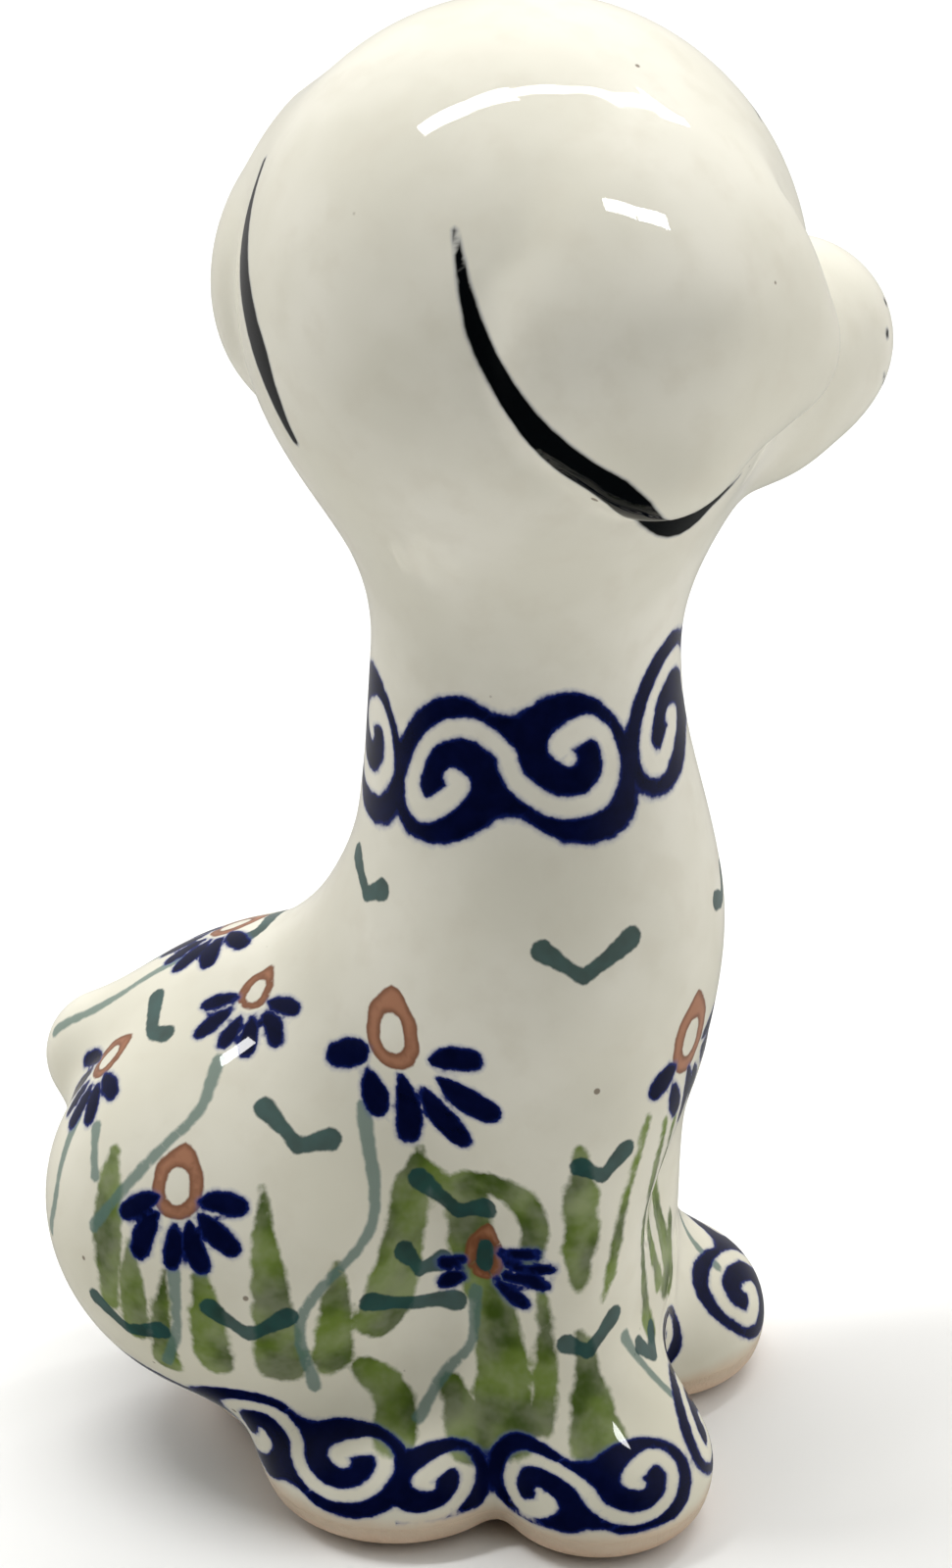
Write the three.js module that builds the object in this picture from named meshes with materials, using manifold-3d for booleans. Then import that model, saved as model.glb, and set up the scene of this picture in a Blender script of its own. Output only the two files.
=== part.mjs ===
// Seated puppy figurine in glazed stoneware, hollow, millimetres, +Z up.
// The body looks along +X and the head is turned to the puppy's left (+Y).
// Origin: on the table, directly below the neck axis.
//
// The clay forms are blended out of ellipsoids and rounded cones.  The skin of
// the body and the skin of the head are a cylinder and a sphere whose vertices
// slide outwards along straight rays until they lie on that blended surface.
// The skins are then parted into the pressed members of the figurine: torso,
// head, ears, tail, paws and sole.

import * as THREE from 'three';
import { mergeVertices } from 'three/addons/utils/BufferGeometryUtils.js';
import Module from 'manifold-3d';

// ---------------------------------------------------------------- dimensions

const JOINT_GAP = 0.3;           // slip line between two luted members
const SOLE_THICKNESS = 4.0;      // unglazed slab that closes the foot
const DRAIN_RADIUS = 6.5;        // firing vent through the sole
const NECK_JOINT_Z = 104;        // height of the seam between neck and head
const BORE_RADIUS = 8;           // hollow of the neck
const SPIGOT_RADIUS = 11;        // collar on the neck that locates the head
const SPIGOT_HEIGHT = 4;

// round cone: two balls with a tight skin around them; pairs exist left and right
const NECK = { from: [-0.5, 0, 66], to: [-0.5, 0, 112], radii: [17.4, 14.6] };
const CHEST = { centre: [2.5, 0, 56], radii: [17, 21, 28], blend: 10 };
const FRONT_LEG = { from: [6.8, 9, 46], to: [3.5, 12.5, 16], radii: [9.5, 9.5], blend: 5 };
const BACK = { from: [-10, 0, 49.5], to: [-29, 0, 39], radii: [15.5, 16], blend: 12 };
const HAUNCH = { centre: [-26.5, 10.5, 29], radii: [24, 18.5, 22.5], blend: 7 };
const TAIL = { from: [-30, 0, 45], to: [-47, 0, 39.5], radii: [10, 7], blend: 4 };
const BELLY = { centre: [-8, 0, 18], radii: [24, 16, 22], blend: 8 };

const FRONT_PAW = { centre: [11.8, 15.3, 5.5], radii: [12, 12.7, 10] };
const HIND_PAW = { centre: [-10.5, 17, 5.5], radii: [14.5, 14, 10], blend: 3 };
const REAR_FOOT = { centre: [-24, 0, 6], radii: [13, 14, 10], blend: 6 };
const PAW_BLEND = 8;

const HEAD_CENTRE = [-1, 0, 130];
const HEAD_TURN = 57;            // degrees about +Z, towards the puppy's left
const HEAD_TILT = -6;            // degrees about the nose axis
const HEAD_BLEND = 12;
const SKULL = { centre: [0.3, 0, 1.2], radii: [28.5, 27.6, 28.7] };
const MUZZLE = { from: [10, 0, -9], to: [37.2, 0, -12.8], radii: [14, 11], blend: 6 };
const JAW = { from: [0, 0, -15], to: [29, 0, -16], radii: [12.5, 10], blend: 6 };

const EAR = { centre: [-3, 21, 2], radii: [18.5, 10.6, 16.8], turn: 8, lean: 5 };
const EAR_FRONT = { from: [-3, 20.5, 3], to: [11.4, 22.2, -4], radii: [11, 6.5], blend: 5 };
const EAR_TIP = { from: [-4, 20.5, 2], to: [-5.3, 23.2, -9.6], radii: [10.5, 6.5], blend: 5 };
const EAR_CREASE = 1.5;          // blend at the free edge of the ear
const EAR_ROOT_BLEND = 6;        // extra blend where the ear grows from the crown
const EAR_ROOT = [11, 20];       // heights over which that extra blend comes in

// seats: the ellipsoids along which the small members are parted from the body
const FRONT_PAW_SEAT = { centre: [13, 17.5, 4], radii: [13.5, 12.5, 12.5] };
const HIND_PAW_SEAT = { centre: [-10.5, 21, 4], radii: [15, 11.5, 12] };
const TAIL_SEAT = { centre: [-48, 0, 39.5], radii: [9, 8.6, 9.4] };
const EAR_SEAT_CORE = { centre: [0, 0, 1], radii: [23.5, 22.6, 23.5] };
const EAR_SEAT_MARGIN = 0.9;

// hollows
const TORSO_HOLLOW = { centre: [-13, 0, 35], radii: [20, 13.5, 20] };
const HEAD_HOLLOW = { centre: [0, 0, 1], radii: [19.2, 18.4, 19] };

// spine of the torso skin: x, tilt in degrees and height of each section plane
const SPINE = [
  [-8, 0, 0], [-9, 6, 14], [-11, 16, 28], [-10, 24, 42],
  [-5, 24, 58], [-1, 14, 73], [-0.5, 4, 89], [-0.5, 0, NECK_JOINT_Z],
];
const TORSO_SIDES = 44;
const TORSO_SECTIONS = 28;
const HEAD_SIDES = 44;
const HEAD_RINGS = 28;
const MUZZLE_CROWDING = 0.4;     // draws the head's meridians towards the muzzle

const GLAZE_CREAM = { color: 0xd9d3c6, roughness: 0.12, metalness: 0 };
const BARE_CLAY = { color: 0xc7a58b, roughness: 0.85, metalness: 0 };

// ------------------------------------------------------------ blended surface

const clamp = (v, lo, hi) => Math.min(hi, Math.max(lo, v));

function blend(a, b, k) {
  const h = clamp(0.5 + (0.5 * (b - a)) / k, 0, 1);
  return b + (a - b) * h - k * h * (1 - h);
}

function ellipsoid(p, { centre: c, radii: r }) {
  const x = p.x - c[0];
  const y = p.y - c[1];
  const z = p.z - c[2];
  const k0 = Math.hypot(x / r[0], y / r[1], z / r[2]);
  const k1 = Math.hypot(x / r[0] ** 2, y / r[1] ** 2, z / r[2] ** 2);
  return (k0 * (k0 - 1)) / Math.max(k1, 1e-9);
}

function roundCone(p, { from, to, radii: [r1, r2] }) {
  const ax = new THREE.Vector3(...to).sub(new THREE.Vector3(...from));
  const pa = p.clone().sub(new THREE.Vector3(...from));
  const length = ax.length();
  ax.divideScalar(length);
  const along = pa.dot(ax);
  const off = Math.sqrt(Math.max(pa.lengthSq() - along * along, 0));
  const slope = (r1 - r2) / length;
  const rise = Math.sqrt(1 - slope * slope);
  const foot = along * rise - off * slope;
  if (foot < 0) return Math.hypot(along, off) - r1;
  if (foot > length * rise) return Math.hypot(along - length, off) - r2;
  return off * rise + along * slope - r1;
}

const mirrored = (p) => new THREE.Vector3(p.x, Math.abs(p.y), p.z);

const headTurn = new THREE.Euler(
  THREE.MathUtils.degToRad(HEAD_TILT), 0, THREE.MathUtils.degToRad(HEAD_TURN), 'ZYX');
const headFrame = new THREE.Matrix4().compose(
  new THREE.Vector3(...HEAD_CENTRE),
  new THREE.Quaternion().setFromEuler(headTurn),
  new THREE.Vector3(1, 1, 1));
const headInverse = headFrame.clone().invert();

function torsoField(p) {
  const q = mirrored(p);
  let d = roundCone(p, NECK);
  d = blend(d, ellipsoid(p, CHEST), CHEST.blend);
  d = blend(d, roundCone(q, FRONT_LEG), FRONT_LEG.blend);
  d = blend(d, roundCone(p, BACK), BACK.blend);
  d = blend(d, ellipsoid(q, HAUNCH), HAUNCH.blend);
  d = blend(d, roundCone(p, TAIL), TAIL.blend);
  return blend(d, ellipsoid(p, BELLY), BELLY.blend);
}

function pawField(p) {
  const q = mirrored(p);
  let d = ellipsoid(q, FRONT_PAW);
  d = blend(d, ellipsoid(q, HIND_PAW), HIND_PAW.blend);
  return blend(d, ellipsoid(p, REAR_FOOT), REAR_FOOT.blend);
}

function skullField(h) {
  const d = blend(ellipsoid(h, SKULL), roundCone(h, MUZZLE), MUZZLE.blend);
  return blend(d, roundCone(h, JAW), JAW.blend);
}

function earField(h) {
  const q = mirrored(h);
  const e = q.clone().sub(new THREE.Vector3(...EAR.centre));
  e.applyAxisAngle(new THREE.Vector3(0, 0, 1), THREE.MathUtils.degToRad(-EAR.turn));
  e.applyAxisAngle(new THREE.Vector3(1, 0, 0), THREE.MathUtils.degToRad(-EAR.lean));
  let d = ellipsoid(e, { centre: [0, 0, 0], radii: EAR.radii });
  d = blend(d, roundCone(q, EAR_FRONT), EAR_FRONT.blend);
  return blend(d, roundCone(q, EAR_TIP), EAR_TIP.blend);
}

function figurineField(p) {
  const h = p.clone().applyMatrix4(headInverse);
  const root = clamp((h.z - EAR_ROOT[0]) / (EAR_ROOT[1] - EAR_ROOT[0]), 0, 1);
  let d = blend(torsoField(p), pawField(p), PAW_BLEND);
  d = blend(d, skullField(h), HEAD_BLEND);
  return blend(d, earField(h), EAR_CREASE + EAR_ROOT_BLEND * root);
}

// distance from a point inside the clay to the surface, along a unit direction
function reach(field, start, direction, furthest = 90) {
  const at = (t) => field(start.clone().addScaledVector(direction, t));
  let near = 0;
  let far = 0;
  while (far < furthest && at(far) < 0) {
    near = far;
    far += 1;
  }
  for (let i = 0; i < 18; i += 1) {
    const middle = (near + far) / 2;
    if (at(middle) < 0) near = middle;
    else far = middle;
  }
  return near;
}

// -------------------------------------------------------------------- solids

const wasm = await Module();
wasm.setup();

function solidOf(geometry) {
  const bare = geometry.index ? geometry.toNonIndexed() : geometry.clone();
  bare.deleteAttribute('normal');
  bare.deleteAttribute('uv');
  const welded = mergeVertices(bare, 1e-4);
  return new wasm.Manifold(new wasm.Mesh({
    numProp: 3,
    vertProperties: new Float32Array(welded.attributes.position.array),
    triVerts: new Uint32Array(welded.index.array),
  }));
}

function geometryOf(solid) {
  const mesh = solid.getMesh();
  const geometry = new THREE.BufferGeometry();
  geometry.setAttribute('position', new THREE.BufferAttribute(mesh.vertProperties, 3));
  geometry.setIndex(new THREE.BufferAttribute(mesh.triVerts, 1));
  geometry.computeVertexNormals();
  return geometry;
}

// ellipsoid of the given size, optionally grown, mirrored and carried by a frame
function ball({ centre, radii }, { grow = 0, side = 1, frame, sides = 20, rings = 14 } = {}) {
  const g = new THREE.SphereGeometry(1, sides, rings);
  g.scale(...radii.map((r) => r + grow));
  g.translate(centre[0], centre[1] * side, centre[2]);
  if (frame) g.applyMatrix4(frame);
  return solidOf(g);
}

function drum(radius, bottom, top, x = 0, frame) {
  const g = new THREE.CylinderGeometry(radius, radius, top - bottom, 24);
  g.rotateX(Math.PI / 2);
  g.translate(x, 0, (bottom + top) / 2);
  if (frame) g.applyMatrix4(frame);
  return solidOf(g);
}

function slab(bottom, top) {
  const g = new THREE.BoxGeometry(200, 200, top - bottom);
  g.translate(0, 0, (bottom + top) / 2);
  return solidOf(g);
}

// skin of the body: a capped cylinder, one section plane to each ring
function torsoSkin() {
  const spine = new THREE.CatmullRomCurve3(
    SPINE.map(([x, tilt, z]) => new THREE.Vector3(x, tilt, z)), false, 'centripetal');
  const g = new THREE.CylinderGeometry(1, 1, 1, TORSO_SIDES, TORSO_SECTIONS);
  const position = g.attributes.position;
  const vertex = new THREE.Vector3();
  for (let i = 0; i < position.count; i += 1) {
    vertex.fromBufferAttribute(position, i);
    const station = spine.getPointAt(clamp(vertex.y + 0.5, 0, 1));
    const tilt = THREE.MathUtils.degToRad(station.y);
    const centre = new THREE.Vector3(station.x, 0, station.z);
    if (Math.hypot(vertex.x, vertex.z) > 0.5) {
      const ahead = new THREE.Vector3(Math.cos(tilt), 0, -Math.sin(tilt));
      const ray = ahead.multiplyScalar(vertex.z).add(new THREE.Vector3(0, vertex.x, 0));
      ray.normalize();
      centre.addScaledVector(ray, reach(figurineField, centre, ray));
    }
    position.setXYZ(i, centre.x, centre.y, centre.z);
  }
  return solidOf(g);
}

// skin of the head: a sphere whose rays start at the head centre; its open end
// runs a little way down the neck and is trimmed at the joint
function headSkin() {
  const floor = NECK_JOINT_Z - 3;
  const field = (p) => Math.max(figurineField(p), floor - p.z);
  const g = new THREE.SphereGeometry(1, HEAD_SIDES, HEAD_RINGS);
  g.rotateX(Math.PI / 2);
  const position = g.attributes.position;
  const vertex = new THREE.Vector3();
  const centre = new THREE.Vector3(...HEAD_CENTRE);
  for (let i = 0; i < position.count; i += 1) {
    vertex.fromBufferAttribute(position, i);
    const flat = Math.hypot(vertex.x, vertex.y);
    const angle = Math.atan2(vertex.y, vertex.x);
    const crowded = angle - MUZZLE_CROWDING * Math.sin(angle)
      + THREE.MathUtils.degToRad(HEAD_TURN);
    const ray = new THREE.Vector3(
      flat * Math.cos(crowded), flat * Math.sin(crowded), vertex.z).normalize();
    if (flat < 1e-6) ray.set(0, 0, Math.sign(vertex.z));
    const point = centre.clone().addScaledVector(ray, reach(field, centre, ray));
    position.setXYZ(i, point.x, point.y, point.z);
  }
  return solidOf(g).intersect(slab(NECK_JOINT_Z + JOINT_GAP, 200));
}

// a sphere blown up from its centre until it fills the given field
function skinFrom(centre, field, sides, rings, frame) {
  const g = new THREE.SphereGeometry(1, sides, rings);
  const position = g.attributes.position;
  for (let i = 0; i < position.count; i += 1) {
    const ray = new THREE.Vector3().fromBufferAttribute(position, i).normalize();
    const point = centre.clone().addScaledVector(ray, reach(field, centre, ray, 40));
    position.setXYZ(i, point.x, point.y, point.z);
  }
  if (frame) g.applyMatrix4(frame);
  return solidOf(g);
}

// ear-shaped cutter: the free outline of one ear, a little larger than the ear
function earCutter(side, grow) {
  const centre = new THREE.Vector3(EAR.centre[0], EAR.centre[1] * side, EAR.centre[2]);
  return skinFrom(centre, (h) => earField(h) - grow, 28, 18, headFrame);
}

// ------------------------------------------------------------------- members

const bodySkin = torsoSkin();
const wholeHead = headSkin();
const aboveSole = slab(SOLE_THICKNESS, 200);
const drainX = TORSO_HOLLOW.centre[0] + 5;

function makeSole() {
  const slice = bodySkin.intersect(slab(-1, SOLE_THICKNESS - JOINT_GAP));
  return slice.subtract(drum(DRAIN_RADIUS, -5, 10, drainX));
}

function makeFrontPaw(side) {
  return bodySkin.intersect(ball(FRONT_PAW_SEAT, { side })).intersect(aboveSole);
}

function makeHindPaw(side) {
  return bodySkin.intersect(ball(HIND_PAW_SEAT, { side }))
    .intersect(aboveSole)
    .subtract(ball(FRONT_PAW_SEAT, { side, grow: JOINT_GAP }));
}

function makeTail() {
  const centre = new THREE.Vector3(...TAIL_SEAT.centre).add(new THREE.Vector3(3, 0, 0));
  const lump = (p) => Math.max(figurineField(p), p.distanceTo(centre) - 15);
  return skinFrom(centre, lump, 26, 18).intersect(ball(TAIL_SEAT));
}

function makeTorso() {
  let torso = bodySkin.intersect(aboveSole);
  for (const side of [1, -1]) {
    torso = torso.subtract(ball(FRONT_PAW_SEAT, { side, grow: JOINT_GAP }));
    torso = torso.subtract(ball(HIND_PAW_SEAT, { side, grow: JOINT_GAP }));
  }
  torso = torso.subtract(ball(TAIL_SEAT, { grow: JOINT_GAP }));
  torso = torso.add(drum(SPIGOT_RADIUS, NECK_JOINT_Z - 4, NECK_JOINT_Z + SPIGOT_HEIGHT,
    NECK.to[0]));
  const hollow = ball(TORSO_HOLLOW)
    .add(drum(BORE_RADIUS, 40, NECK_JOINT_Z + 20, NECK.to[0]))
    .add(drum(DRAIN_RADIUS, 0, 25, drainX));
  return torso.subtract(hollow);
}

function makeHead() {
  let head = wholeHead;
  for (const side of [1, -1]) {
    const core = ball(EAR_SEAT_CORE, { grow: -JOINT_GAP, frame: headFrame });
    head = head.subtract(earCutter(side, EAR_SEAT_MARGIN + JOINT_GAP).subtract(core));
  }
  const socket = drum(SPIGOT_RADIUS + JOINT_GAP, NECK_JOINT_Z - 5,
    NECK_JOINT_Z + SPIGOT_HEIGHT + JOINT_GAP, NECK.to[0]);
  const bore = drum(BORE_RADIUS, NECK_JOINT_Z - 5, HEAD_CENTRE[2], NECK.to[0]);
  return head.subtract(ball(HEAD_HOLLOW, { frame: headFrame })).subtract(socket).subtract(bore);
}

function makeEar(side) {
  const core = ball(EAR_SEAT_CORE, { frame: headFrame });
  return wholeHead.intersect(earCutter(side, EAR_SEAT_MARGIN)).subtract(core);
}

// --------------------------------------------------------------- scene graph

const figurine = new THREE.Group();
const headGroup = new THREE.Group();
headGroup.applyMatrix4(headFrame);
figurine.add(headGroup);

// hangs a member in its parent with the mesh origin at the given point of it
function hang(parent, name, solid, finish, origin = [0, 0, 0]) {
  const geometry = geometryOf(solid);
  if (parent === headGroup) geometry.applyMatrix4(headInverse);
  geometry.translate(-origin[0], -origin[1], -origin[2]);
  const mesh = new THREE.Mesh(geometry, new THREE.MeshStandardMaterial(finish));
  mesh.name = name;
  mesh.position.set(...origin);
  parent.add(mesh);
}

const onSide = ([x, y, z], side) => [x, y * side, z];

hang(figurine, 'torso_shell', makeTorso(), GLAZE_CREAM);
hang(figurine, 'sole', makeSole(), BARE_CLAY);
hang(figurine, 'tail', makeTail(), GLAZE_CREAM, TAIL_SEAT.centre);
for (const [word, side] of [['left', 1], ['right', -1]]) {
  hang(figurine, `${word}_front_paw`, makeFrontPaw(side), GLAZE_CREAM,
    onSide(FRONT_PAW.centre, side));
  hang(figurine, `${word}_hind_paw`, makeHindPaw(side), GLAZE_CREAM,
    onSide(HIND_PAW.centre, side));
  hang(headGroup, `${word}_ear`, makeEar(side), GLAZE_CREAM, onSide(EAR.centre, side));
}
hang(headGroup, 'head_shell', makeHead(), GLAZE_CREAM);

export default figurine;
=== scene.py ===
"""Seated puppy figurine in glazed, hand-painted stoneware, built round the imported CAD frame.

The clay form is one blended surface of ellipsoids and round cones, in millimetres, with +X where
the chest faces, +Y the puppy's left and +Z up.  It is meshed finely, parted along the same seats as
the CAD members, and each member but the sole is thickened into a closed shell.  The underglaze
painting is a set of brush strokes laid on that surface; each colour is kept as a distance to its
nearest stroke edge, and the glaze material turns those distances into paint.
"""
import math

import bmesh
import bpy
import numpy as np
from mathutils import Matrix, Vector


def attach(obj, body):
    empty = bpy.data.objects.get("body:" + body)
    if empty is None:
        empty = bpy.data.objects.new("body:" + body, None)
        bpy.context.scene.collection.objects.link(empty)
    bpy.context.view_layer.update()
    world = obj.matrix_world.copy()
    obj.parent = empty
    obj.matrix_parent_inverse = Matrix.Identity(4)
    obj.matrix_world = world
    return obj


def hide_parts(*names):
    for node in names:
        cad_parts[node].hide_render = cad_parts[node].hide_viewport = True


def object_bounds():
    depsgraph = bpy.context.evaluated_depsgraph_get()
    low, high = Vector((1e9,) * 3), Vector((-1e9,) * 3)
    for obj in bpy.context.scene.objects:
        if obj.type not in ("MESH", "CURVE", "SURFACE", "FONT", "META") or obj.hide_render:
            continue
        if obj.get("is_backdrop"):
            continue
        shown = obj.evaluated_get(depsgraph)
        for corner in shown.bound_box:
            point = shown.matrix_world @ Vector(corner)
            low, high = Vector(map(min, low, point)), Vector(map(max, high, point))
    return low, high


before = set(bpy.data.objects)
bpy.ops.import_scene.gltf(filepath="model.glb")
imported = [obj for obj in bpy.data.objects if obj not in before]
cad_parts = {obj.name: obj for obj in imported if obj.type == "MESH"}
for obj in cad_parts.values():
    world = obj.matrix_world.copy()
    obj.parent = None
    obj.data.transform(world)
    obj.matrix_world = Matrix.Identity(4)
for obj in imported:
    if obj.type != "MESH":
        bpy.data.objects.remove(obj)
cad_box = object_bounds()

MM = 0.001
GRID = 0.69     # cell of the surface mesh, mm
WALL = 3.0                             # thickness of the fired wall, mm
RIM_ROUNDING = 1.2                     # rounding of the foot's lower edge, mm
VENT_X, VENT_RADIUS = -8.0, 6.5        # firing vent through the sole
VENT_DEPTH, VENT_LIP = 8.0, 0.8        # how far the vent is sunk into the foot, and its rounded edge
SOLE_Z = 4.0                           # where the bare sole meets the glazed body
BARE_MARGIN = 0.9                      # unpainted strip above the sole
NECK_Z = 104.15                        # where head and neck were luted together
FAR_FROM_PAINT = -3.0                  # distances to paint are clipped here, mm


# ------------------------------------------------------------------ camera

def aim(thing, at):
    """Turns a camera or light so that it looks at a point."""
    thing.rotation_mode = "QUATERNION"
    thing.rotation_quaternion = (Vector(at) - thing.location).to_track_quat("-Z", "Y")


camera = bpy.data.objects.new("camera", bpy.data.cameras.new("camera"))
bpy.context.scene.collection.objects.link(camera)
camera.location = (0.0877, -0.3800, 0.2655)
aim(camera, (-0.0054, -0.0012, 0.0775))
camera.data.lens = 96.1
camera.data.sensor_width = 36.0
camera.data.clip_start = 0.01
camera.data.clip_end = 20.0
bpy.context.scene.camera = camera


# ------------------------------------------------------------------ clay form

def smin(a, b, k):
    """The lesser of two distances, rounded where they meet over a width of k."""
    h = np.clip(0.5 + 0.5 * (b - a) / k, 0, 1)
    return b + (a - b) * h - k * h * (1 - h)


def ellipsoid(p, centre, radii):
    """Distance, about, to an ellipsoid."""
    q, r = p - np.array(centre), np.array(radii)
    k0 = np.sqrt(((q / r) ** 2).sum(-1))
    k1 = np.sqrt(((q / (r * r)) ** 2).sum(-1))
    return k0 * (k0 - 1) / np.maximum(k1, 1e-9)


def cone(p, start, end, r1, r2):
    """Distance to a round cone: two balls and the skin stretched between them."""
    start, axis = np.array(start, float), np.subtract(end, start).astype(float)
    length = np.linalg.norm(axis)
    q = p - start
    along = q @ (axis / length)
    off = np.sqrt(np.maximum((q * q).sum(-1) - along * along, 0))
    slope = (r1 - r2) / length
    rise = math.sqrt(1 - slope * slope)
    foot = along * rise - off * slope
    side = off * rise + along * slope - r1
    side = np.where(foot < 0, np.hypot(along, off) - r1, side)
    return np.where(foot > length * rise, np.hypot(along - length, off) - r2, side)


def mirrored(p):
    """The right half folded over on to the left."""
    return np.concatenate([p[..., :1], np.abs(p[..., 1:2]), p[..., 2:]], -1)


def turn(yaw, roll):
    """Rotation about +Z by yaw after a rotation about +X by roll, in degrees."""
    c, s = math.cos(math.radians(yaw)), math.sin(math.radians(yaw))
    d, t = math.cos(math.radians(roll)), math.sin(math.radians(roll))
    return np.array([[c, -s, 0], [s, c, 0], [0, 0, 1]]) @ np.array([[1, 0, 0], [0, d, -t], [0, t, d]])


HEAD_CENTRE = np.array([-1.0, 0.0, 130.0])
HEAD_TURN = turn(57, -6)
EAR_CENTRE = np.array([-3.0, 21.0, 2.0])
EAR_TURN = turn(8, 5)


def torso(p):
    q = mirrored(p)
    d = cone(p, (-0.5, 0, 66), (-0.5, 0, 112), 17.4, 14.6)
    d = smin(d, ellipsoid(p, (2.5, 0, 56), (17, 21, 28)), 10)
    d = smin(d, cone(q, (6.8, 9, 46), (3.5, 12.5, 16), 9.5, 9.5), 5)
    d = smin(d, cone(p, (-10, 0, 49.5), (-29, 0, 39), 15.5, 16), 12)
    d = smin(d, ellipsoid(q, (-26.5, 10.5, 29), (24, 18.5, 22.5)), 7)
    d = smin(d, cone(p, (-30, 0, 45), (-47, 0, 39.5), 10, 7), 4)
    return smin(d, ellipsoid(p, (-8, 0, 18), (24, 16, 22)), 8)


def paws(p):
    q = mirrored(p)
    d = ellipsoid(q, (11.8, 15.3, 5.5), (12, 12.7, 10))
    d = smin(d, ellipsoid(q, (-10.5, 17, 5.5), (14.5, 14, 10)), 3)
    return smin(d, ellipsoid(p, (-24, 0, 6), (13, 14, 10)), 6)


def to_head(p):
    return (p - HEAD_CENTRE) @ HEAD_TURN


def from_head(h):
    return np.asarray(h, float) @ HEAD_TURN.T + HEAD_CENTRE


def skull(h):
    d = ellipsoid(h, (0.3, 0, 1.2), (28.5, 27.6, 28.7))
    d = smin(d, cone(h, (10, 0, -9), (37.2, 0, -12.8), 14, 11), 6)
    return smin(d, cone(h, (0, 0, -15), (29, 0, -16), 12.5, 10), 6)


def ear(h):
    q = mirrored(h)
    d = ellipsoid((q - EAR_CENTRE) @ EAR_TURN, (0, 0, 0), (18.5, 10.6, 16.8))
    d = smin(d, cone(q, (-3, 20.5, 3), (11.4, 22.2, -4), 11, 6.5), 5)
    return smin(d, cone(q, (-4, 20.5, 2), (-5.3, 23.2, -9.6), 10.5, 6.5), 5)


def clay(p):
    """Signed distance, about, to the figurine's skin without its foot cut flat."""
    h = to_head(p)
    d = smin(torso(p), paws(p), 8)
    d = smin(d, skull(h), 12)
    return smin(d, ear(h), 1.5 + 6 * np.clip((h[..., 2] - 11) / 9, 0, 1))


def skin(p):
    """The figurine cut flat at z = 0 with a rounded rim, and with the vent sunk into the foot."""
    d = clay(p)
    low = p[..., 2] < VENT_DEPTH + 4
    if np.any(low):
        q = p[low]
        cut = -smin(-d[low], q[..., 2], RIM_ROUNDING * 2)
        vent = np.hypot(q[..., 0] - VENT_X, q[..., 1]) - VENT_RADIUS
        d[low] = -smin(-cut, np.maximum(vent, q[..., 2] - VENT_DEPTH), VENT_LIP)
    return d


def gradient(f, p, step=0.05):
    return np.stack([f(p + e) - f(p - e) for e in np.eye(3) * step], -1) / (2 * step)


def settle(p, f=clay, rounds=4):
    """Moves points along the field's gradient until they lie on its surface."""
    p = np.array(p, float)
    for _ in range(rounds):
        g = gradient(f, p)
        p = p - (f(p) / np.maximum((g * g).sum(-1), 0.1))[..., None] * g
    return p


# ------------------------------------------------------------------ meshing

def surface_mesh(f, low, high, h):
    """A quad mesh of f = 0: one vertex in each grid cell that the surface passes through."""
    n = np.ceil((high - low) / h / 8).astype(int) * 8
    blocks = np.stack(np.meshgrid(*[np.arange(k // 8) for k in n], indexing="ij"), -1).reshape(-1, 3)
    middle = low + (blocks * 8 + 3.5) * h
    coarse = f(middle)
    value = np.repeat(np.repeat(np.repeat(coarse.reshape(n // 8), 8, 0), 8, 1), 8, 2)
    near = blocks[np.abs(coarse) < 8 * h]
    local = np.stack(np.meshgrid(*[np.arange(8)] * 3, indexing="ij"), -1).reshape(-1, 3)
    for part in np.array_split(near, max(1, len(near) // 400)):
        ijk = (part[:, None] * 8 + local).reshape(-1, 3)
        value[tuple(ijk.T)] = f(low + ijk * h)
    cells, points, flips = [], [], []
    for a in range(3):
        b, c = (a + 1) % 3, (a + 2) % 3
        shift = np.eye(3, dtype=int)
        first = value[tuple(slice(0, -1) if k == a else slice(1, -1) for k in range(3))]
        second = value[tuple(slice(1, None) if k == a else slice(1, -1) for k in range(3))]
        crossing = np.nonzero((first < 0) != (second < 0))
        v0, v1 = first[crossing], second[crossing]
        ijk = np.stack(crossing, -1) + np.array([0 if k == a else 1 for k in range(3)])
        points.append(low + (ijk + (v0 / (v0 - v1))[:, None] * shift[a]) * h)
        ring = [ijk, ijk - shift[b], ijk - shift[b] - shift[c], ijk - shift[c]]
        cells.append(np.stack([r[:, 0] * n[1] * n[2] + r[:, 1] * n[2] + r[:, 2] for r in ring], 1))
        flips.append(v0 < 0)
    cells, points, flips = map(np.concatenate, (cells, points, flips))
    _, index = np.unique(cells.ravel(), return_inverse=True)
    index = index.ravel()
    count = np.bincount(index)
    around = np.repeat(points, 4, 0)
    verts = np.stack([np.bincount(index, around[:, k]) / count for k in range(3)], 1)
    quads = index.reshape(-1, 4)
    quads[flips] = quads[flips][:, ::-1]
    return verts, quads[:, ::-1]


def triangles_of(verts, quads):
    """Splits each quad along its shorter diagonal."""
    a, b, c, d = (quads[:, k] for k in range(4))
    short = np.linalg.norm(verts[a] - verts[c], axis=1) <= np.linalg.norm(verts[b] - verts[d], axis=1)
    one = np.where(short[:, None], np.stack([a, b, c], 1), np.stack([a, b, d], 1))
    two = np.where(short[:, None], np.stack([a, c, d], 1), np.stack([b, c, d], 1))
    return np.concatenate([one, two])


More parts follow.
